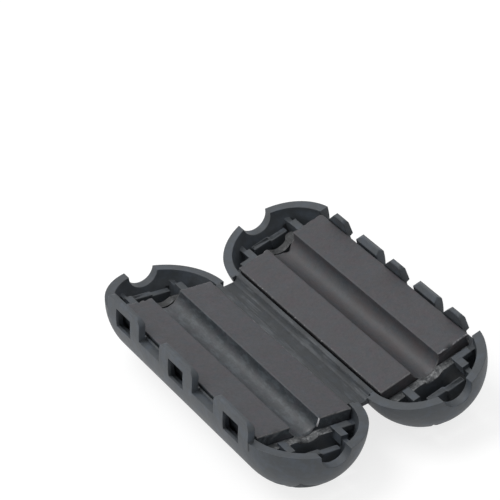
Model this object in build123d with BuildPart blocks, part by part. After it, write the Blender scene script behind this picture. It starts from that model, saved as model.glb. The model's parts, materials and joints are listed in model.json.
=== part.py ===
from build123d import *
import os
from math import cos, radians, sin

# Clip-on ferrite bead, lying open: two half cases joined by a folding strap,
# each with half of the ferrite inside. Millimetres, +Z up, lead channel along Y.
# Each half is drawn with its axis on Y, its open side up and its strap side at -X,
# and is then tilted about its own fold line.

# Ferrite
core_length = 30.0
core_radius = 6.1
core_depth = 5.6
core_edge_break = 0.15
channel_radius = 1.85
core_face_drop = 0.015

# Case wall
core_gap = 0.3
wall = 1.1
dome_start = 0.9
rim_drop = 0.12
notch_radius = 1.93
notch_reach = 2.5

# Strap and its two fold lines
fold_depth = 0.97
strap_thickness = 0.5
strap_end_gap = 0.15
fold_clearance = 0.03
strap_clearance = 0.05
rest_tilt = 10.5

# Catches on the free edge of one half
catch_inset = 3.25
catch_length = 7.2
catch_thickness = 0.85
catch_height = 2.2
catch_corner = 1.0
catch_lead_in = 0.25
catch_draft = 0.1
window_length = 3.2
window_top = 1.05
window_bottom = -1.35
low_wall_drop = 0.55

# Hook tongues and wall tabs on the free edge of the other half
tongue_length = 3.9
tongue_height = 1.7
tongue_lead_in = 0.15
tongue_crown = 1.8
tongue_corner = 0.5
tongue_slope_drop = 2.0
barb_reach = 0.45
barb_depth = 0.85
barb_slope = 0.6
barb_draft = 0.1
barb_step = 0.15
pocket_slope = 0.25
tab_height = 0.35
tab_slope = 0.4
tab_crest = 0.15
tab_corner = 0.35
tab_end_slope = 0.8
tab_draft = 0.05
side_clearance = 0.15
face_clearance = 0.05
core_clearance = 0.1
tip_clearance = 0.2

# Leaf springs cut in the wall behind the ferrite
leaf_bridge = 3.0
leaf_inset = 3.2
leaf_width = 4.1
leaf_recess = 0.35
slot_width = 0.7
pad_length = 1.2
pad_width = 3.0
pad_clearance = 0.02

# Stop rib, core clips, lead grip and its spring flap near each end
rib_gap = 0.15
rib_thickness = 1.0
rib_drop = 1.4
rib_notch_radius = 2.6
rib_notch_drop = 1.9
clip_station = 3.4
clip_width = 0.9
clip_setback = 0.5
clip_length = 2.2
clip_drop = 1.0
clip_height = 1.2
gusset_thickness = 0.6
gusset_drop = 1.5
gusset_gap = 0.05
grip_inset = 0.45
grip_stagger = 0.12
grip_thickness = 0.55
grip_drop = 1.78
grip_half_width = 2.3
grip_overlap = 0.1
flap_width = 4.9
flap_gap = 0.1
flap_length = 3.2
flap_slot_drop = 2.2
foot_reach = 1.95
foot_length = 1.2

core_half = core_length / 2
inner_radius = core_radius + core_gap
case_radius = inner_radius + wall
straight_half = core_half - dome_start
case_length = 2 * (straight_half + case_radius)
strap_length = 2 * straight_half
leaf_length = core_half - leaf_inset - leaf_bridge / 2
leaf_station = (leaf_bridge + leaf_length) / 2
catch_pitch = core_half - catch_inset
fold_x = case_radius - strap_thickness / 2
bead_radius = strap_thickness / 2
strap_width = 2 * fold_depth
rib_start = core_half + rib_gap
flap_root = rib_start + rib_thickness + flap_gap
flap_tip = flap_root + flap_length
grip_station = flap_tip - slot_width - grip_inset
catch_face = case_radius - catch_thickness
stem_face = catch_face - face_clearance
barb_face = stem_face + barb_reach
tongue_face = core_radius + core_clearance
catch_stations = [-catch_pitch, 0, catch_pitch]
tab_stations = [-catch_pitch / 2, catch_pitch / 2]
gap_length = catch_pitch - catch_length
tab_length = gap_length - 2 * side_clearance
recess_length = catch_length + 2 * side_clearance
recess_floor = -(catch_height + tip_clearance)
recess_width = 2 * wall
ends = [-1, 1]
over = 2.0
root = 0.3


def round_ended_half(radius):
    """The lower half of a bar along Y with a quarter ball at each end."""
    with BuildPart() as bar:
        with BuildSketch(Plane.XY):
            with BuildLine():
                Line((0, straight_half + radius), (0, -straight_half - radius))
                CenterArc((0, -straight_half), radius, 270, 90)
                Line((radius, -straight_half), (radius, straight_half))
                CenterArc((0, straight_half), radius, 0, 90)
            make_face()
        revolve(axis=Axis.Y, revolution_arc=180)
    return bar.part


def ribbon_along_y(points, length):
    """A solid with the XZ outline given, centred on the origin along Y."""
    with BuildPart() as ribbon:
        with BuildSketch(Plane.XZ):
            with BuildLine():
                Polyline(*points, close=True)
            make_face()
        extrude(amount=length / 2, both=True)
    return ribbon.part


# The wall that both halves share, with its leaf springs and spring flaps
with BuildPart() as half_wall:
    add(round_ended_half(case_radius))
    add(round_ended_half(inner_radius), mode=Mode.SUBTRACT)
    with Locations((0, 0, -rim_drop)):
        Box(
            2 * case_radius + over,
            case_length + over,
            2 * case_radius,
            align=(Align.CENTER, Align.CENTER, Align.MIN),
            mode=Mode.SUBTRACT,
        )
    # two slots beside each leaf spring
    slot_line = (leaf_width + slot_width) / 2
    with BuildSketch(Plane.XY.offset(-case_radius - over)):
        with Locations(*[(sx * slot_line, sy * leaf_station) for sx in ends for sy in ends]):
            SlotOverall(leaf_length, slot_width, rotation=90)
    extrude(amount=over + case_radius / 2, mode=Mode.SUBTRACT)
    # the leaf itself is flat and lies a little below the round wall
    with Locations(*[(0, sy * leaf_station, -case_radius) for sy in ends]):
        Box(leaf_width, leaf_length - slot_width, 2 * leaf_recess, mode=Mode.SUBTRACT)
    # U-shaped slot with feet, round the flap that presses on the lead
    leg_line = (flap_width + slot_width) / 2
    with BuildSketch(Plane.XY.offset(-case_radius - over)):
        for sy in ends:
            with Locations((0, sy * (flap_tip - slot_width / 2))):
                Rectangle(flap_width + 2 * slot_width, slot_width)
            with Locations(*[(sx * leg_line, sy * (flap_root + flap_tip) / 2) for sx in ends]):
                Rectangle(slot_width, flap_tip - flap_root)
            foot_line = flap_width / 2 + foot_reach / 2
            foot_mid = flap_root + foot_length / 2
            with Locations(*[(sx * foot_line, sy * foot_mid) for sx in ends]):
                Rectangle(foot_reach, foot_length)
    extrude(amount=over + case_radius - flap_slot_drop, mode=Mode.SUBTRACT)
    # above the fold line the wall gives way to the strap, whose round edge sits in a groove
    strap_room = strap_length + 2 * strap_end_gap
    with Locations((-fold_x + bead_radius + strap_clearance, 0, -fold_depth)):
        Box(over, strap_room, over, align=(Align.MAX, Align.CENTER, Align.MIN), mode=Mode.SUBTRACT)
    with Locations((-fold_x, 0, -fold_depth - bead_radius - strap_clearance)):
        Box(over, strap_room, over, align=(Align.MAX, Align.CENTER, Align.MIN), mode=Mode.SUBTRACT)
    with Locations((-fold_x, 0, -fold_depth)):
        Cylinder(
            bead_radius + fold_clearance,
            strap_room,
            rotation=(90, 0, 0),
            mode=Mode.SUBTRACT,
        )

# What stands inside the wall of both halves
with BuildPart() as half_fittings:
    for sy in ends:
        with Locations((0, sy * (rib_start + rib_thickness / 2), -rib_drop)):
            Box(
                2 * stem_face,
                rib_thickness,
                case_radius,
                align=(Align.CENTER, Align.CENTER, Align.MAX),
            )
        for sx in ends:
            clip_middle = rib_start + clip_setback + clip_length / 2
            with Locations((sx * clip_station, sy * clip_middle, -clip_drop)):
                Box(
                    clip_width,
                    clip_length,
                    clip_height,
                    align=(Align.CENTER, Align.CENTER, Align.MAX),
                )
            gusset_start = flap_root + foot_length + gusset_gap
            gusset_length = straight_half + case_radius - gusset_start
            with Locations((sx * clip_station, sy * (gusset_start + gusset_length / 2), -gusset_drop)):
                Box(
                    gusset_thickness,
                    gusset_length,
                    case_radius,
                    align=(Align.CENTER, Align.CENTER, Align.MAX),
                )
            grip_width = grip_half_width + grip_overlap
            grip_x = sx * (grip_half_width - grip_width / 2)
            with Locations((grip_x, sy * (grip_station - sx * sy * grip_stagger), -grip_drop)):
                Box(
                    grip_width,
                    grip_thickness,
                    case_radius,
                    align=(Align.CENTER, Align.CENTER, Align.MAX),
                )
        # a pad on each leaf spring reaches up to the ferrite
        pad_drop = core_face_drop + core_depth + pad_clearance
        pad_height = inner_radius + root - pad_drop
        with Locations((0, sy * leaf_station, -pad_drop)):
            Box(pad_width, pad_length, pad_height, align=(Align.CENTER, Align.CENTER, Align.MAX))
    add(round_ended_half(case_radius - wall / 2), mode=Mode.INTERSECT)

# The lead's way through the stop ribs and the two ends
with BuildPart() as lead_way:
    for sy in ends:
        with Locations((0, sy * (rib_start + rib_thickness / 2), rib_notch_radius - rib_notch_drop)):
            Cylinder(rib_notch_radius, 2 * rib_thickness, rotation=(90, 0, 0))
        with Locations((0, sy * (straight_half + case_radius), 0)):
            Cylinder(notch_radius, 2 * notch_reach, rotation=(90, 0, 0))

# One catch: a raised wall with a lead-in inside and a rounded outline
with BuildPart() as catch:
    add(
        ribbon_along_y(
            [
                (catch_face, -wall),
                (catch_face, catch_height - 2 * catch_lead_in),
                (catch_face + catch_lead_in, catch_height),
                (case_radius - catch_lead_in, catch_height),
                (case_radius, catch_height - catch_lead_in),
                (case_radius, 0),
                (case_radius - catch_draft, -wall),
            ],
            catch_length,
        )
    )
    with BuildSketch(Plane.YZ) as catch_side:
        with Locations((0, (catch_height - 2 * wall) / 2)):
            Rectangle(catch_length, catch_height + 2 * wall)
        fillet(catch_side.vertices().group_by(Axis.Y)[-1], catch_corner)
    extrude(amount=case_radius + over, mode=Mode.INTERSECT)

# The room behind a window that a hook tongue springs into
pocket_face = barb_face + face_clearance
pocket_floor = -(tongue_height + tip_clearance)
tongue_pocket = ribbon_along_y(
    [
        (core_radius, window_top),
        (pocket_face, window_top),
        (pocket_face, pocket_floor / 2),
        (pocket_face - pocket_slope, pocket_floor),
        (core_radius, pocket_floor),
    ],
    tongue_length + 2 * side_clearance,
)

with BuildPart() as catch_shell:
    add(half_wall.part)
    with Locations(*[(0, y, 0) for y in catch_stations]):
        add(catch.part)
    with Locations(*[(case_radius, y, -low_wall_drop) for y in tab_stations]):
        Box(
            2 * wall,
            gap_length,
            over,
            align=(Align.CENTER, Align.CENTER, Align.MIN),
            mode=Mode.SUBTRACT,
        )
    with Locations(*[(0, y, 0) for y in catch_stations]):
        add(tongue_pocket, mode=Mode.SUBTRACT)
    with Locations(*[(case_radius, y, (window_top + window_bottom) / 2) for y in catch_stations]):
        Box(2 * wall, window_length, window_top - window_bottom, mode=Mode.SUBTRACT)
    add(half_fittings.part)
    add(lead_way.part, mode=Mode.SUBTRACT)

# One hook tongue: a thin stem with a barb that faces outwards
tongue_root = recess_floor - root
with BuildPart() as tongue:
    add(
        ribbon_along_y(
            [
                (tongue_face, tongue_root),
                (tongue_face, tongue_height - tongue_lead_in),
                (tongue_face + tongue_lead_in, tongue_height),
                (stem_face + barb_draft, tongue_height),
                (barb_face - barb_draft, tongue_height - barb_slope),
                (barb_face, barb_step - barb_depth),
                (stem_face, -barb_depth),
                (stem_face, tongue_root),
            ],
            tongue_length,
        )
    )
    # seen from the side the crown is short, with a long slope down to one end
    with BuildSketch(Plane.YZ) as tongue_side:
        with BuildLine():
            Polyline(
                (-tongue_length / 2, tongue_root),
                (-tongue_length / 2, tongue_height),
                (tongue_crown - tongue_length / 2, tongue_height),
                (tongue_length / 2, tongue_height - tongue_slope_drop),
                (tongue_length / 2, tongue_root),
                close=True,
            )
        make_face()
        fillet(tongue_side.vertices().group_by(Axis.Y)[-1], tongue_corner)
    extrude(amount=case_radius + over, mode=Mode.INTERSECT)

# One wall tab, which fills the low wall between two catches and slopes down inwards
tab_root = -rim_drop - root
tab_ridge = case_radius - tab_draft - tab_slope
with BuildPart() as wall_tab:
    add(
        ribbon_along_y(
            [
                (inner_radius, tab_root),
                (inner_radius, -rim_drop),
                (tab_ridge - tab_crest, tab_height),
                (tab_ridge, tab_height),
                (case_radius - tab_draft, -rim_drop),
                (case_radius - tab_draft, tab_root),
            ],
            tab_length,
        )
    )
    with BuildSketch(Plane.YZ) as tab_side:
        with BuildLine():
            Polyline(
                (-tab_length / 2, tab_root),
                (-tab_length / 2, tab_height),
                (tab_length / 2 - tab_end_slope, tab_height),
                (tab_length / 2, -rim_drop),
                (tab_length / 2, tab_root),
                close=True,
            )
        make_face()
        fillet(tab_side.vertices().group_by(Axis.Y)[-1], tab_corner)
    extrude(amount=case_radius + over, mode=Mode.INTERSECT)

with BuildPart() as latch_shell:
    add(half_wall.part)
    with Locations(*[(case_radius, y, recess_floor) for y in catch_stations]):
        Box(
            2 * recess_width,
            recess_length,
            2 * case_radius,
            align=(Align.CENTER, Align.CENTER, Align.MIN),
            mode=Mode.SUBTRACT,
        )
    with Locations(*[(0, y, 0) for y in catch_stations]):
        add(tongue.part)
    with Locations(*[(0, y, 0) for y in tab_stations]):
        add(wall_tab.part)
    add(half_fittings.part)
    add(lead_way.part, mode=Mode.SUBTRACT)

# Strap: a flat band with a round edge along each fold line
with BuildPart() as hinge_strap:
    with BuildSketch(Plane.XZ):
        SlotCenterToCenter(strap_width, strap_thickness)
    extrude(amount=strap_length / 2, both=True)

# Ferrite half: a D-shaped bar with half of the round channel in its flat face
with BuildPart() as ferrite_half:
    with BuildSketch(Plane.XZ):
        Circle(core_radius)
        with Locations((0, -core_depth)):
            Rectangle(
                2 * core_radius,
                2 * core_radius,
                align=(Align.CENTER, Align.MAX),
                mode=Mode.SUBTRACT,
            )
        Rectangle(
            2 * core_radius,
            2 * core_radius,
            align=(Align.CENTER, Align.MIN),
            mode=Mode.SUBTRACT,
        )
        Circle(channel_radius, mode=Mode.SUBTRACT)
    extrude(amount=core_half, both=True)
    flat_face_edges = ferrite_half.edges().filter_by(Axis.Y).group_by(Axis.Z)[-1]
    chamfer(flat_face_edges, core_edge_break)

# Places: each half tilts inwards about its fold line and stands on its round back
tilt = radians(rest_tilt)
axis_out = strap_width / 2 + fold_x * cos(tilt) - fold_depth * sin(tilt)
fold_height = case_radius - fold_x * sin(tilt) - fold_depth * cos(tilt)
latch_place = Location((axis_out, 0, case_radius), (0, -rest_tilt, 0))
catch_place = Location((-axis_out, 0, case_radius), (0, rest_tilt, 0)) * Location((0, 0, 0), (0, 0, 180))
core_seat = Location((0, 0, -core_face_drop))

pieces = {
    "catch_shell": catch_place * catch_shell.part,
    "latch_shell": latch_place * latch_shell.part,
    "hinge_strap": Location((0, 0, fold_height)) * hinge_strap.part,
    "catch_ferrite": catch_place * core_seat * ferrite_half.part,
    "latch_ferrite": latch_place * core_seat * ferrite_half.part,
}

os.makedirs("parts", exist_ok=True)
for name, piece in pieces.items():
    piece.label = name
    export_step(piece, f"parts/{name}.step")
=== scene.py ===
import json
from math import asin, cos, exp, pi, radians, sin

import bmesh
import bpy
from mathutils import Matrix, Vector, noise


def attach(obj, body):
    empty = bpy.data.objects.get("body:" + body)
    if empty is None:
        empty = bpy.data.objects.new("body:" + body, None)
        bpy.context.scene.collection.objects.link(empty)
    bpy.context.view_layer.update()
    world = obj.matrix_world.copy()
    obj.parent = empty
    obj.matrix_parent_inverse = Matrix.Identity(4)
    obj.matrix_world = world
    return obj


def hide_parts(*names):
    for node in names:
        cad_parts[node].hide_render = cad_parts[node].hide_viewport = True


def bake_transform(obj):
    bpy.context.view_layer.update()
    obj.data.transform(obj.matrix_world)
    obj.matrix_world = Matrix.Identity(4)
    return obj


# An open clip-on ferrite bead: two dark plastic half cases, each with half of a grooved ferrite.
# Lengths are in metres, in the frame of the part: Y along the lead, Z up.

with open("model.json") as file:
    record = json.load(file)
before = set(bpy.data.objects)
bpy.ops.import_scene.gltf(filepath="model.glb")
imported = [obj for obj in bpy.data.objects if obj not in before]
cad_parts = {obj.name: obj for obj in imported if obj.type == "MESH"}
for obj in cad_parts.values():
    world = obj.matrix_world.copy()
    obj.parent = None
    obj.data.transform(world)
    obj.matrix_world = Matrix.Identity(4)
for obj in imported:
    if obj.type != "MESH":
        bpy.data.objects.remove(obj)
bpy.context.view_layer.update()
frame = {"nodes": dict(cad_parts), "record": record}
nodes = frame["nodes"]
scene = bpy.context.scene

MM = 0.001


# Camera

CAMERA_AZIMUTH = -27.14  # degrees, from -Y towards +X
CAMERA_ELEVATION = 36.12
CAMERA_ROLL = -8.08
CAMERA_DISTANCE = 328.34 * MM
CAMERA_AIM = Vector((5.119, 17.545, 6.0)) * MM
CAMERA_CLIP = (0.01, 10.0)
SENSOR = 36.0
LENS = 198.7


def add_camera():
    data = bpy.data.cameras.new("camera")
    data.sensor_width = SENSOR
    data.lens = LENS
    data.clip_start, data.clip_end = CAMERA_CLIP
    camera = bpy.data.objects.new("camera", data)
    turn = Matrix.Rotation(radians(CAMERA_AZIMUTH), 4, "Z")
    rise = Matrix.Rotation(radians(90 - CAMERA_ELEVATION), 4, "X")
    roll = Matrix.Rotation(radians(CAMERA_ROLL), 4, "Z")
    back = Matrix.Translation((0, 0, CAMERA_DISTANCE))
    camera.matrix_world = Matrix.Translation(CAMERA_AIM) @ turn @ rise @ back @ roll
    scene.collection.objects.link(camera)
    scene.camera = camera


# Node trees

# sockets of a Mix node that mixes colours
MIX_FACTOR, MIX_A, MIX_B, MIX_RESULT = 0, 6, 7, 2
# cosine between the flat and the softened normal: where an edge starts, and where it is full
EDGE_START = 0.995
EDGE_FULL = 0.93


def new_material(name):
    material = bpy.data.materials.new(name)
    material.use_nodes = True
    tree = material.node_tree
    return material, tree, tree.nodes["Principled BSDF"]


def add_node(tree, kind, values=None, **settings):
    """A shader node with its settings, and the values of its unlinked sockets."""
    node = tree.nodes.new(kind)
    for name, value in settings.items():
        setattr(node, name, value)
    for socket, value in (values or {}).items():
        node.inputs[socket].default_value = value
    return node


def in_millimetres(tree, stretch=(1, 1, 1)):
    """Object coordinates in millimetres, drawn out where stretch is under 1."""
    where = add_node(tree, "ShaderNodeTexCoord")
    scale = add_node(tree, "ShaderNodeMapping", {"Scale": [v / MM for v in stretch]})
    tree.links.new(where.outputs["Object"], scale.inputs["Vector"])
    return scale.outputs["Vector"]


def add_noise(tree, where, scale, detail=2.0, roughness=0.5):
    values = {"Scale": scale, "Detail": detail, "Roughness": roughness}
    texture = add_node(tree, "ShaderNodeTexNoise", values)
    tree.links.new(where, texture.inputs["Vector"])
    return texture.outputs["Fac"]


def remap(tree, source, low, high, to_low=0.0, to_high=1.0):
    """The source with low to high spread over to_low to to_high, and clamped there."""
    values = {"From Min": low, "From Max": high, "To Min": to_low, "To Max": to_high}
    node = add_node(tree, "ShaderNodeMapRange", values)
    tree.links.new(source, node.inputs["Value"])
    return node.outputs["Result"]


def combine(tree, operation, a, b):
    """The product or the greater of two sockets, as the operation says."""
    node = add_node(tree, "ShaderNodeMath", operation=operation)
    tree.links.new(a, node.inputs[0])
    tree.links.new(b, node.inputs[1])
    return node.outputs["Value"]


def mix_colours(tree, factor, a, b):
    """Mixes two colours, each a socket or three numbers."""
    node = add_node(tree, "ShaderNodeMix", data_type="RGBA")
    tree.links.new(factor, node.inputs[MIX_FACTOR])
    for source, target in ((a, node.inputs[MIX_A]), (b, node.inputs[MIX_B])):
        if isinstance(source, tuple):
            target.default_value = (*source, 1)
        else:
            tree.links.new(source, target)
    return node.outputs[MIX_RESULT]


def rounded_edges(tree, radius):
    """The normal with edges softened, and a mask that is 1 along them."""
    bevel = add_node(tree, "ShaderNodeBevel", {"Radius": radius}, samples=4)
    flat = add_node(tree, "ShaderNodeNewGeometry")
    dot = add_node(tree, "ShaderNodeVectorMath", operation="DOT_PRODUCT")
    tree.links.new(bevel.outputs["Normal"], dot.inputs[0])
    tree.links.new(flat.outputs["Normal"], dot.inputs[1])
    return bevel.outputs["Normal"], remap(tree, dot.outputs["Value"], EDGE_START, EDGE_FULL)


def seen_directly(tree):
    """1 for rays from the camera, a reflection or a clear surface, and 0 for those that light."""
    path = add_node(tree, "ShaderNodeLightPath").outputs
    seen = combine(tree, "MAXIMUM", path["Is Camera Ray"], path["Is Transmission Ray"])
    return combine(tree, "MAXIMUM", seen, path["Is Glossy Ray"])


def add_bump(tree, height, depth, normal=None):
    bump = add_node(tree, "ShaderNodeBump", {"Strength": 1.0, "Distance": depth})
    tree.links.new(height, bump.inputs["Height"])
    if normal:
        tree.links.new(normal, bump.inputs["Normal"])
    return bump.outputs["Normal"]


# Floor, lamps and world

FLOOR_REACH = 3.0
FLOOR_CORNERS = ((-1, -1), (1, -1), (1, 1), (-1, 1))
FLOOR_GREY = 0.8  # of the floor as it lights the object
FLOOR_OWN = 0.3  # share of the floor's brightness that its shadow can take away
WORLD_STRENGTH = 0.62  # of the world as it lights the object


def add_floor():
    mesh = bpy.data.meshes.new("floor")
    corners = [(x * FLOOR_REACH, y * FLOOR_REACH, 0) for x, y in FLOOR_CORNERS]
    mesh.from_pydata(corners, [], [(0, 1, 2, 3)])
    floor = bpy.data.objects.new("floor", mesh)
    scene.collection.objects.link(floor)
    material, tree, shader = new_material("floor")
    shader.inputs["Base Color"].default_value = (FLOOR_GREY, FLOOR_GREY, FLOOR_GREY, 1)
    shader.inputs["Roughness"].default_value = 1.0
    shader.inputs["Specular IOR Level"].default_value = 0.0
    # what the camera and reflections see is paler than what lights the object
    own = add_node(tree, "ShaderNodeBsdfDiffuse", {"Color": (FLOOR_OWN, FLOOR_OWN, FLOOR_OWN, 1)})
    glow = add_node(tree, "ShaderNodeEmission", {"Strength": 1.0 - FLOOR_GREY * FLOOR_OWN})
    pale = add_node(tree, "ShaderNodeAddShader")
    tree.links.new(own.outputs[0], pale.inputs[0])
    tree.links.new(glow.outputs[0], pale.inputs[1])
    choice = add_node(tree, "ShaderNodeMixShader")
    tree.links.new(seen_directly(tree), choice.inputs[0])
    tree.links.new(shader.outputs[0], choice.inputs[1])
    tree.links.new(pale.outputs[0], choice.inputs[2])
    tree.links.new(choice.outputs[0], tree.nodes["Material Output"].inputs["Surface"])
    mesh.materials.append(material)


def add_lamp(name, place, size, power):
    """A round lamp that faces the origin."""
    data = bpy.data.lights.new(name, "AREA")
    data.shape = "DISK"
    data.size = size
    data.energy = power
    lamp = bpy.data.objects.new(name, data)
    lamp.location = place
    lamp.rotation_euler = (-Vector(place)).to_track_quat("-Z", "Y").to_euler()
    scene.collection.objects.link(lamp)


def add_world():
    world = bpy.data.worlds.new("studio")
    world.use_nodes = True
    tree = world.node_tree
    background = tree.nodes["Background"]
    background.inputs["Color"].default_value = (1, 1, 1, 1)
    strength = remap(tree, seen_directly(tree), 0.0, 1.0, WORLD_STRENGTH, 1.0)
    tree.links.new(strength, background.inputs["Strength"])
    scene.world = world


# Materials: tones are linear red, green and blue, and noise scales are per millimetre

CASE_DARK = (0.039, 0.045, 0.051)
CASE_LIGHT = (0.048, 0.055, 0.063)
CASE_SPECK = (0.085, 0.092, 0.098)
CASE_WORN = (0.115, 0.122, 0.128)
STRAP_DARK = (0.015, 0.018, 0.021)
STRAP_LIGHT = (0.023, 0.027, 0.031)
# pale streak tone on the strap: rubbed marks and partly painted sheen
STRAP_RUBBED_AND_SHEEN = (0.072, 0.08, 0.088)
EDGE_RADIUS = 0.13 * MM


def tinted(colour, *shares):
    return tuple(value * share for value, share in zip(colour, shares))


def case_plastic(name, dark, light, rubbed_and_sheen=None):
    """Dark slate moulded plastic: a satin grain, faint mottling and paler worn edges, with streaks
    along Y where a streak tone is given: pale rubbed marks that are partly painted sheen."""
    material, tree, shader = new_material(name)
    where = in_millimetres(tree)
    cloud = add_noise(tree, where, 0.35, 4.0, 0.6)
    speck = add_noise(tree, where, 3.1, 3.0, 0.7)
    tone = mix_colours(tree, remap(tree, cloud, 0.3, 0.7), dark, light)
    bluish = remap(tree, add_noise(tree, where, 0.71, 3.0, 0.6), 0.47, 0.66, 0.0, 0.8)
    tone = mix_colours(tree, bluish, tone, tinted(light, 1.12, 1.2, 1.32))
    tone = mix_colours(tree, remap(tree, speck, 0.62, 0.8, 0.0, 0.35), tone, CASE_SPECK)
    normal, edge = rounded_edges(tree, EDGE_RADIUS)
    wear = remap(tree, add_noise(tree, where, 1.7, 4.0), 0.4, 0.7, 0.0, 0.4)
    tone = mix_colours(tree, combine(tree, "MULTIPLY", edge, wear), tone, CASE_WORN)
    # pale streaks along Y: rubbed marks, partly painted sheen, with a real bump
    if rubbed_and_sheen:
        streak = add_noise(tree, in_millimetres(tree, (1.0, 0.045, 1.0)), 3.4, 4.0, 0.65)
        patch = add_noise(tree, in_millimetres(tree, (1.0, 0.4, 1.0)), 0.5, 3.0, 0.7)
        streaked = remap(tree, streak, 0.42, 0.62)
        share = combine(tree, "MULTIPLY", streaked, remap(tree, patch, 0.46, 0.58))
        tone = mix_colours(tree, share, tone, rubbed_and_sheen)
        normal = add_bump(tree, streak, 0.05 * MM, normal)
    tree.links.new(tone, shader.inputs["Base Color"])
    grain = add_noise(tree, where, 5.5, 2.0, 0.6)
    wave = add_noise(tree, where, 0.8, 2.0)
    normal = add_bump(tree, wave, 0.05 * MM, normal)
    normal = add_bump(tree, grain, 0.014 * MM, normal)
    tree.links.new(normal, shader.inputs["Normal"])
    tree.links.new(remap(tree, cloud, 0.3, 0.7, 0.5, 0.62), shader.inputs["Roughness"])
    return material


def flash_plastic(name, dull, bright):
    """Thin torn plastic, here and there stress-whitened."""
    material, tree, shader = new_material(name)
    where = in_millimetres(tree)
    speck = add_noise(tree, where, 3.0, 3.0, 0.7)
    cloud = add_noise(tree, where, 0.7, 2.0)
    torn = remap(tree, speck, 0.42, 0.66)
    pale = combine(tree, "MULTIPLY", torn, remap(tree, cloud, 0.45, 0.58, 0.05, 1.0))
    tree.links.new(mix_colours(tree, pale, dull, bright), shader.inputs["Base Color"])
    tree.links.new(remap(tree, speck, 0.3, 0.7, 0.6, 0.35), shader.inputs["Roughness"])
    tree.links.new(add_bump(tree, speck, 0.05 * MM), shader.inputs["Normal"])
    return material


def ferrite(name, cool, warm, roughness, stain=None, streak=None):
    """Sintered ferrite: close-grained grey, mottled in faint rosy and bluish patches, with pale
    and dark specks and fine scratches. A stain, or a pale streak that is a painted highlight, lies
    along Y."""
    material, tree, shader = new_material(name)
    where = in_millimetres(tree)
    cloud = add_noise(tree, where, 0.45, 4.0, 0.65)
    speck = add_noise(tree, where, 2.7, 4.0, 0.8)
    rosy = add_noise(tree, where, 0.83, 2.0, 0.6)
    bluish = add_noise(tree, where, 1.17, 2.0, 0.6)
    tone = mix_colours(tree, remap(tree, cloud, 0.38, 0.62), cool, warm)
    # patches and specks: the noise, where it starts and is full, its greatest share, and the tone
    for source, start, full, most, patch in (
        (rosy, 0.48, 0.62, 0.7, tinted(warm, 1.09, 0.96, 1.05)),
        (bluish, 0.5, 0.64, 0.7, tinted(cool, 0.9, 1.02, 1.08)),
        (speck, 0.52, 0.7, 0.75, tinted(warm, 1.35, 1.35, 1.37)),
        (speck, 0.47, 0.3, 0.75, tinted(cool, 0.6, 0.6, 0.6)),
    ):
        tone = mix_colours(tree, remap(tree, source, start, full, 0.0, most), tone, patch)
    if stain:
        blot = add_noise(tree, in_millimetres(tree, (1.0, 0.25, 1.0)), 0.6, 3.0, 0.6)
        tone = mix_colours(tree, remap(tree, blot, 0.48, 0.66, 0.0, 0.7), tone, stain)
    # the streak is a painted highlight: a pale bluish band along Y in the base colour
    if streak:
        highlight_streak = add_noise(tree, in_millimetres(tree, (1.0, 0.4, 1.0)), 1.3, 5.0, 0.75)
        tone = mix_colours(tree, remap(tree, highlight_streak, 0.5, 0.6, 0.0, 0.9), tone, streak)
    tree.links.new(tone, shader.inputs["Base Color"])
    gloss = remap(tree, cloud, 0.3, 0.7, roughness, roughness + 0.12)
    tree.links.new(gloss, shader.inputs["Roughness"])
    normal = add_bump(tree, add_noise(tree, where, 3.6, 4.0, 0.75), 0.03 * MM)
    scratch = add_noise(tree, in_millimetres(tree, (0.35, 1.4, 1.0)), 3.0, 2.0, 0.5)
    tree.links.new(add_bump(tree, scratch, 0.012 * MM, normal), shader.inputs["Normal"])
    return material


def chipped_ferrite_and_glint(name, dull, bright, least=0.42):
    """Chipped arrises in a tone between dull and bright; the pale bright tone is a painted glint
    where fresh crystal faces would catch the light: the lower least is, the more of it.
    """
    material, tree, shader = new_material(name)
    where = in_millimetres(tree)
    speck = add_noise(tree, where, 2.6, 4.0, 0.75)
    tone = mix_colours(tree, remap(tree, speck, least, least + 0.2), dull, bright)
    tree.links.new(tone, shader.inputs["Base Color"])
    tree.links.new(remap(tree, speck, 0.35, 0.65, 0.5, 0.22), shader.inputs["Roughness"])
    tree.links.new(add_bump(tree, speck, 0.08 * MM), shader.inputs["Normal"])
    return material


# Places of the two halves. Each is drawn level, with the channel's axis on Y, the open side up and
# the strap side at -X, then turned about that axis and moved to where it lies at rest.

REST_TILT = radians(10.5)
AXIS = {mount["name"]: Vector(mount["pos_m"]) for mount in frame["record"]["mounts"]}
HALVES = {
    "catch": (
        Matrix.Translation(AXIS["catch_channel"])
        @ Matrix.Rotation(REST_TILT, 4, "Y")
        @ Matrix.Rotation(pi, 4, "Z")
    ),
    "latch": Matrix.Translation(AXIS["latch_channel"]) @ Matrix.Rotation(-REST_TILT, 4, "Y"),
}


# Meshes

SHARP_ANGLE = radians(38)


def ripple(x, y, z):
    """Smooth noise from -1 to 1, with a wave of about 1."""
    return noise.noise(Vector((x, y, z)))


def fade(gap, reach, power=2):
    """1 at no gap, falling to nothing past the reach."""
    return exp(-((gap / reach) ** power))


def bent(start, corner, end, steps):
    """Points of a rounded corner between start and end, without them."""
    shares = [i / steps for i in range(1, steps)]
    return [start * (1 - t) ** 2 + corner * 2 * t * (1 - t) + end * t ** 2 for t in shares]


def bridge(shape, rings):
    """Joins rings of points to a closed form, with a face over the first ring and the last."""
    for a, b in zip(rings, rings[1:]):
        for j in range(len(a)):
            k = (j + 1) % len(a)
            shape.faces.new((a[j], a[k], b[k], b[j]))
    shape.faces.new(rings[0])
    shape.faces.new(rings[-1][::-1])
    bmesh.ops.recalc_face_normals(shape, faces=shape.faces)


def swept(section, half_length, steps):
    """A closed form along Y. The section gives its points (x, z) at each y."""
    shape = bmesh.new()
    rings = []
    for i in range(steps + 1):
        y = half_length * (2 * i / steps - 1)
        rings.append([shape.verts.new((x, y, z)) for x, z in section(y)])
    bridge(shape, rings)
    return shape


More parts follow.
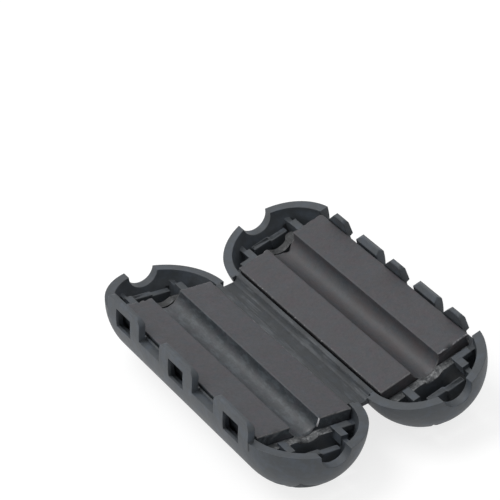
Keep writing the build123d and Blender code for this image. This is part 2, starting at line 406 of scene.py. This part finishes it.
def add_mesh(name, shape, materials):
    """A mesh that is smooth but for its sharp edges."""
    for face in shape.faces:
        face.smooth = True
    for edge in shape.edges:
        edge.smooth = edge.is_manifold and edge.calc_face_angle(0.0) < SHARP_ANGLE
    mesh = bpy.data.meshes.new(name)
    shape.to_mesh(mesh)
    shape.free()
    for material in materials:
        mesh.materials.append(material)
    piece = bpy.data.objects.new(name, mesh)
    scene.collection.objects.link(piece)
    return piece


def add_piece(name, shape, half, materials):
    """A mesh drawn in the frame of its half, which it rides."""
    shape.transform(HALVES[half])
    piece = add_mesh(name, shape, materials)
    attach(piece, f"{half} half")
    return piece


# Ferrite halves

CORE_HALF = 15.0 * MM
CORE_RADIUS = 6.1 * MM
CORE_DEPTH = 5.6 * MM
CHANNEL_RADIUS = 1.85 * MM
ARRIS = 0.14 * MM
CORE_STEP = 0.25 * MM
CHANNEL_STEPS = 22
SIDE_STEPS = 26
ARRIS_STEPS = 3
CORE_SEEDS = {"catch": 5.0, "latch": 12.0}
# chips go towards the middle of the body, at these depths under the flat faces and the channel
LAND_MIDDLE = 2.4 * MM
CHANNEL_MIDDLE = 3.8 * MM
CHANNEL_SHARE = 0.8  # of the channel's half width, within which they go to its middle
DEEPEST_CHIP = 0.3 * MM
CHIP_REACH = 0.3 * MM  # from a long arris
END_REACH = 0.35 * MM  # from an end
LONG_WEAR = 0.08  # of the long arrises, as a share of that at the ends
END_ROUND = 0.8  # share of the arris by which the ends are drawn in
END_LOSS = 0.6  # share of a chip's depth that comes off the length
# least part of a unit normal that makes a face an end, or an upper one
FACES_END = 0.97
FACES_UP = 0.8
# a core's materials, by their place in its list
GROUND, PRESSED, WORN, GLINT_BREAK, SPECKED = range(5)
# the chipped break at each core's near end, its pale tones a painted glint: where it lies, in
# millimetres, and its tones
BREAKS_WITH_GLINT = {
    "catch": (((-1.95, -1.4), (14, 16), (-1.2, 1)), (0.5, 0.5, 0.52), (0.9, 0.9, 0.92)),
    "latch": (((1.9, 6.2), (-16, -14), (-0.6, 1)), (0.045, 0.045, 0.05), (0.2, 0.2, 0.215)),
}


def straight(start, end, step):
    count = max(1, round((end - start).length / step))
    return [start.lerp(end, i / count) for i in range(count + 1)]


def arc(radius, start, end, steps):
    angles = [radians(start + (end - start) * i / steps) for i in range(steps + 1)]
    return [Vector((radius * cos(a), radius * sin(a))) for a in angles]


def core_outline():
    """One side of the section, from the bottom of the channel round to the middle of the back."""
    lip = Vector((CHANNEL_RADIUS, 0))
    rim = Vector((CORE_RADIUS, 0))
    turn = ARRIS / CHANNEL_RADIUS * 180 / pi
    channel = arc(CHANNEL_RADIUS, -90, -turn, CHANNEL_STEPS)
    face = straight(lip + Vector((ARRIS, 0)), rim - Vector((ARRIS, 0)), CORE_STEP)
    turn = ARRIS / CORE_RADIUS * 180 / pi
    back_turn = asin(CORE_DEPTH / CORE_RADIUS) * 180 / pi
    side = arc(CORE_RADIUS, -turn, -back_turn, SIDE_STEPS)
    back = straight(side[-1], Vector((0, -CORE_DEPTH)), 2 * CORE_STEP)
    points = channel + bent(channel[-1], lip, face[0], ARRIS_STEPS) + face
    return points + bent(face[-1], rim, side[0], ARRIS_STEPS) + side + back[1:]


def core_stations():
    """Places along the core, closer together at its ends."""
    full_half = CORE_HALF - ARRIS
    count = round(2 * full_half / CORE_STEP)
    stations = [-CORE_HALF, -CORE_HALF + ARRIS / 2, -CORE_HALF + ARRIS]
    stations += [stations[2] + (i + 1) * 2 * full_half / count for i in range(count)]
    return stations + [CORE_HALF - ARRIS / 2, CORE_HALF]


def chip_depth(point, seed):
    """How far the arris is broken away at this point: mostly nothing, here and there a chip."""
    place = point / MM
    large = noise.noise(place * 0.45 + Vector((seed, 0, 0)))
    small = noise.noise(place * 1.9 + Vector((0, seed, 0)))
    chip = max(0.0, large - 0.3) * 1.3 + max(0.0, small - 0.1) * 0.4
    return min(chip * MM, DEEPEST_CHIP)


def core_point(p, y, seed):
    """A point of the outline, y along the core, drawn in at the ends and chipped at the arrises."""
    middle_x = 0.5 * (CORE_RADIUS + CHANNEL_RADIUS) * (1 if p.x > 0 else -1)
    middle = Vector((middle_x, 0, -LAND_MIDDLE))
    if abs(p.x) < CHANNEL_RADIUS * CHANNEL_SHARE:
        middle = Vector((0, 0, -CHANNEL_MIDDLE))
    inward = (middle - Vector((p.x, 0, p.y))).normalized()
    inset = max(0.0, abs(y) - (CORE_HALF - ARRIS)) / ARRIS
    point = Vector((p.x, y, p.y))
    point += inward * ARRIS * inset ** 2 * END_ROUND
    long_gap = min(abs(abs(p.x) - CORE_RADIUS), abs(abs(p.x) - CHANNEL_RADIUS)) + abs(p.y)
    end_gap = CORE_HALF - abs(y)
    wear = max(LONG_WEAR * fade(long_gap, CHIP_REACH), fade(end_gap, END_REACH))
    depth = chip_depth(point, seed) * wear
    point += inward * depth
    point.y -= END_LOSS * depth * (1 if y > 0 else -1) * fade(end_gap, CHIP_REACH)
    return point


def within(point, box):
    return all(low <= value / MM <= high for value, (low, high) in zip(point, box))


def core_material(face, glint_box):
    centre = face.calc_center_median()
    # at the ends: the chipped break with its painted glint, or the worn arris
    if abs(centre.y) > CORE_HALF - 1.2 * ARRIS and abs(face.normal.y) < FACES_END:
        return GLINT_BREAK if within(centre, glint_box) else WORN
    # the top arris at -X: pale specks that are painted glints
    if centre.x < ARRIS - CORE_RADIUS and centre.z > -2 * ARRIS:
        return SPECKED
    if face.normal.z > FACES_UP and abs(centre.x) > CHANNEL_RADIUS:
        return GROUND
    return PRESSED


def core_mesh(seed, glint_box):
    right = core_outline()
    outline = right + [Vector((-p.x, p.y)) for p in reversed(right[1:-1])]
    shape = bmesh.new()
    rings = []
    for y in core_stations():
        rings.append([shape.verts.new(core_point(p, y, seed)) for p in outline])
    bridge(shape, rings)
    for face in shape.faces:
        face.material_index = core_material(face, glint_box)
    return shape


def add_cores():
    worn = chipped_ferrite_and_glint("ferrite_arris", (0.05, 0.05, 0.052), (0.1, 0.1, 0.105))
    # pale specks along an arris: painted glints
    specked = chipped_ferrite_and_glint("ferrite_specks", (0.035, 0.036, 0.039), (0.6, 0.6, 0.62), 0.57)
    ground = {
        "catch": ferrite(
            "ferrite_ground_a", (0.039, 0.0415, 0.0485), (0.0455, 0.044, 0.0485), roughness=0.52
        ),
        "latch": ferrite(
            "ferrite_ground_b", (0.035, 0.037, 0.043), (0.0415, 0.0385, 0.042), roughness=0.52
        ),
    }
    pressed = {
        "catch": ferrite(
            "ferrite_pressed_a",
            (0.03, 0.036, 0.041),
            (0.038, 0.042, 0.047),
            roughness=0.34,
            # painted highlight along the channel
            streak=(0.062, 0.074, 0.084),
        ),
        "latch": ferrite(
            "ferrite_pressed_b",
            (0.038, 0.0425, 0.049),
            (0.045, 0.0435, 0.046),
            roughness=0.4,
            stain=(0.041, 0.032, 0.033),
        ),
    }
    for half in HALVES:
        box, dull, bright = BREAKS_WITH_GLINT[half]
        # the near-end break, whose pale tone is a painted glint
        break_with_glint = chipped_ferrite_and_glint(f"ferrite_break_glint_{half}", dull, bright)
        materials = [ground[half], pressed[half], worn, break_with_glint, specked]
        shape = core_mesh(CORE_SEEDS[half], box)
        core = add_piece(f"ground_core_{half}", shape, half, materials)
        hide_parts(f"{half}_ferrite")


# Flash: the rough crust on top of each stop rib, thickest and palest at the near ends; the low
# crust at the far ends is near-black, a painted shade

RIB_START = 15.15 * MM
RIB_THICKNESS = 1.0 * MM
RIB_DROP = 1.4 * MM
NOTCH_RADIUS = 2.6 * MM
NOTCH_DROP = 1.9 * MM
LEAD_ROOM = 1.85 * MM
CRUST_REACH = 5.4 * MM
CRUST_PILED = 2.9 * MM  # how far it lies thicker round the notch
CRUST_LEAST = 0.015 * MM
CRUST_SUNK = 0.05 * MM
CRUST_COLUMNS = 130
CRUST_ROWS = 12
BURR_PLACE = 2.0 * MM
BURR_SPREAD = 0.7 * MM
# each crust: its half and end, which way that end lies on Y, its seed, its greatest height, and
# how far its burr stands out
CRUSTS = (
    ("catch", "near", 1, 14.0, 0.24 * MM, 0.0),
    ("catch", "far", -1, 20.0, 0.1 * MM, 0.0),
    ("latch", "near", -1, 15.0, 0.24 * MM, 0.0),
    ("latch", "far", 1, 21.0, 0.1 * MM, 0.7 * MM),
)


def rib_top(x):
    """Height of the rib's top, with its shallow notch."""
    height = -RIB_DROP
    if abs(x) < NOTCH_RADIUS:
        height = min(height, NOTCH_RADIUS - NOTCH_DROP - (NOTCH_RADIUS ** 2 - x ** 2) ** 0.5)
    return height


def crust_top(x):
    """The crust fills the notch up to the lead."""
    if abs(x) > LEAD_ROOM:
        return -RIB_DROP
    return min(-RIB_DROP, -((LEAD_ROOM ** 2 - x ** 2) ** 0.5))


def crust_mesh(end, seed, tallest, burr):
    """A closed crust: a rough top over a sole that is sunk in the rib, with ragged edges and a
    burr beside the notch."""
    shape = bmesh.new()
    tops = []
    soles = []
    for i in range(CRUST_COLUMNS + 1):
        x = CRUST_REACH * (2 * i / CRUST_COLUMNS - 1)
        ragged = ripple(x / MM * 1.3, seed, 0)
        inner = RIB_START - (0.06 + 0.1 * max(0.0, ragged)) * MM
        outer = RIB_START + RIB_THICKNESS + 0.12 * ragged * MM
        outer += burr * fade(x - BURR_PLACE, BURR_SPREAD, 4)
        piled = fade(x, CRUST_PILED)
        top = []
        sole = []
        # lumps and grit, lower away from the notch and sinking to nothing at both edges
        for j in range(CRUST_ROWS + 1):
            y = inner + (outer - inner) * j / CRUST_ROWS
            lump = ripple(x / MM * 1.1, y / MM * 1.4, seed)
            grit = ripple(x / MM * 4.5, y / MM * 4.5, seed)
            bank = 1 - (2 * j / CRUST_ROWS - 1) ** 4
            height = (0.25 + max(0.0, lump) * 1.5 + 0.45 * grit) * (0.35 + 0.65 * piled) * bank
            rise = CRUST_LEAST + max(0.0, height) * tallest
            top.append(shape.verts.new((x, end * y, crust_top(x) + rise)))
            sole.append(shape.verts.new((x, end * y, rib_top(x) - CRUST_SUNK)))
        tops.append(top)
        soles.append(sole)
    for i in range(CRUST_COLUMNS):
        for j in range(CRUST_ROWS):
            shape.faces.new((tops[i][j], tops[i + 1][j], tops[i + 1][j + 1], tops[i][j + 1]))
            shape.faces.new((soles[i][j], soles[i][j + 1], soles[i + 1][j + 1], soles[i + 1][j]))
        for j in (0, CRUST_ROWS):
            shape.faces.new((tops[i][j], soles[i][j], soles[i + 1][j], tops[i + 1][j]))
    for i in (0, CRUST_COLUMNS):
        for j in range(CRUST_ROWS):
            shape.faces.new((tops[i][j], tops[i][j + 1], soles[i][j + 1], soles[i][j]))
    bmesh.ops.recalc_face_normals(shape, faces=shape.faces)
    return shape


def add_flash():
    plastics = {
        "near": flash_plastic("flash_pale", (0.036, 0.039, 0.042), (0.2, 0.205, 0.21)),
        # near-black tones at the far ends: painted shade
        "far": flash_plastic("flash_painted_shade", (0.008, 0.009, 0.01), (0.03, 0.033, 0.036)),
    }
    for half, word, end, seed, tallest, burr in CRUSTS:
        shape = crust_mesh(end, seed, tallest, burr)
        add_piece(f"flash_{half}_{word}", shape, half, [plastics[word]])


# A dull skin on the narrow rim at the strap, which on the catch half runs into a fin of flash that
# reaches the core

SKIN_HALF = 14.0 * MM
SKIN_STEPS = 220
SKIN_OUTSIDE = -6.93 * MM
SKIN_INSIDE = -6.43 * MM
SKIN_TOP = -0.095 * MM
SKIN_SOLE = -0.15 * MM
FIN_TIP = -6.07 * MM
FIN_SUNK = 0.02 * MM
FIN_EDGE = 0.05 * MM
FIN_HEIGHTS = (-0.17 * MM, -0.27 * MM, -0.36 * MM, -0.5 * MM)  # middle, tip, underside, foot


def plain_skin(y):
    return [
        (SKIN_OUTSIDE, SKIN_SOLE),
        (SKIN_OUTSIDE, SKIN_TOP),
        (SKIN_INSIDE, SKIN_TOP),
        (SKIN_INSIDE, SKIN_SOLE),
    ]


def finned_skin(y):
    ragged = ripple(3.0, y / MM * 2.1, 0) * 0.05 * MM
    wave = ripple(9.0, y / MM * 0.9, 0) * 0.03 * MM
    middle, tip, under, foot = FIN_HEIGHTS
    return plain_skin(y)[:3] + [
        (0.5 * (SKIN_INSIDE + FIN_TIP), middle + wave),
        (FIN_TIP + ragged, tip + wave),
        (FIN_TIP + ragged - FIN_EDGE, under + wave),
        (SKIN_INSIDE - FIN_SUNK, foot),
        (SKIN_INSIDE - FIN_SUNK, SKIN_SOLE),
    ]


def add_skins(material):
    for half, section in (("catch", finned_skin), ("latch", plain_skin)):
        shape = swept(section, SKIN_HALF, SKIN_STEPS)
        add_piece(f"rim_skin_{half}", shape, half, [material])


# A thin web of plastic over the fold line at the latch half, from the strap up to the rim, drawn
# where it lies at rest

WEB_HALF = 14.0 * MM
WEB_STEPS = 140
WEB_BEND_STEPS = 8
WEB_ON_STRAP = Vector((0.45, 0, 5.47)) * MM
WEB_BEND = Vector((0.82, 0, 5.58)) * MM
WEB_ON_RIM = Vector((1.1, 0, 6.09)) * MM
WEB_THICKNESS = 0.04 * MM
WEB_UNDERSIDE = Vector((0.6, 0, -0.8)) * WEB_THICKNESS


def web_section(y):
    line = [WEB_ON_STRAP, *bent(WEB_ON_STRAP, WEB_BEND, WEB_ON_RIM, WEB_BEND_STEPS), WEB_ON_RIM]
    wave = ripple(4.0, y / MM * 0.8, 0) * 0.02 * MM
    section = line + [p + WEB_UNDERSIDE for p in reversed(line)]
    return [(p.x + wave, p.z) for p in section]


def add_web(material):
    web = add_mesh("fold_web_latch", swept(web_section, WEB_HALF, WEB_STEPS), [material])
    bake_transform(web)


# Broad heads of the lead grips, and the flanges beside the clips

GRIP_STATION = 18.28 * MM
GRIP_STAGGER = 0.13 * MM  # the two grips of an end lean past each other along Y
HEAD_ACROSS = (-0.02 * MM, 2.32 * MM)
HEAD_HALF = 0.42 * MM
HEAD_UPRIGHT = (-3.1 * MM, -1.765 * MM)
FLANGE_ACROSS = (2.95 * MM, 5.2 * MM)
FLANGE_ALONG = (15.55 * MM, 16.55 * MM)
FLANGE_UPRIGHT = (-1.6 * MM, -0.97 * MM)
TOP_CUT = 0.07 * MM


def add_block(shape, across, along, upright):
    """A block between pairs of places on X, Y and Z, with its top edges cut back a little."""
    left, right = sorted(across)
    front, back = sorted(along)
    foot, top = upright
    rings = []
    for z, cut in ((foot, 0.0), (top - TOP_CUT, 0.0), (top, TOP_CUT)):
        xs = (left + cut, right - cut, right - cut, left + cut)
        ys = (front + cut, front + cut, back - cut, back - cut)
        rings.append([shape.verts.new((x, y, z)) for x, y in zip(xs, ys)])
    bridge(shape, rings)


def add_fittings(material):
    for half in HALVES:
        shape = bmesh.new()
        for end in (-1, 1):
            for side in (-1, 1):
                middle = end * GRIP_STATION - side * GRIP_STAGGER
                across = [side * x for x in HEAD_ACROSS]
                add_block(shape, across, (middle - HEAD_HALF, middle + HEAD_HALF), HEAD_UPRIGHT)
            # a flange across the rib on one side of each end
            across = [-end * x for x in FLANGE_ACROSS]
            add_block(shape, across, [end * y for y in FLANGE_ALONG], FLANGE_UPRIGHT)
        add_piece(f"grip_heads_{half}", shape, half, [material])


# Round marks of the ejector pins on the leaf springs, under the case

LEAF_FACE = 7.15 * MM
MARK_STATION = 9.5 * MM
MARK_RADIUS = 0.45 * MM
MARK_FLARE = 1.12
MARK_THICKNESS = 0.08 * MM
MARK_MIDDLE = 0.02 * MM  # how far out of the leaf's face the middle of its thickness lies
MARK_SIDES = 28


def add_marks(material):
    for half in HALVES:
        shape = bmesh.new()
        for end in (-1, 1):
            bmesh.ops.create_cone(
                shape,
                cap_ends=True,
                segments=MARK_SIDES,
                radius1=MARK_RADIUS,
                radius2=MARK_RADIUS * MARK_FLARE,
                depth=MARK_THICKNESS,
                matrix=Matrix.Translation((0, end * MARK_STATION, -LEAF_FACE - MARK_MIDDLE)),
            )
        add_piece(f"pin_marks_{half}", shape, half, [material])


add_camera()
add_floor()
add_lamp("key", place=(-0.22, 0.22, 0.6), size=0.45, power=2.1)
add_lamp("side", place=(-0.55, 0.05, 0.2), size=0.3, power=0.4)
add_world()

plastic = case_plastic("case_plastic", CASE_DARK, CASE_LIGHT)
strap_plastic = case_plastic("strap_plastic", STRAP_DARK, STRAP_LIGHT, STRAP_RUBBED_AND_SHEEN)
coats = {"catch_shell": plastic, "latch_shell": plastic, "hinge_strap": strap_plastic}
for name, coat in coats.items():
    materials = nodes[name].data.materials
    materials.clear()
    materials.append(coat)
add_cores()
add_flash()
add_skins(strap_plastic)
add_web(strap_plastic)
add_fittings(plastic)
add_marks(plastic)

scene.view_settings.view_transform = "Standard"
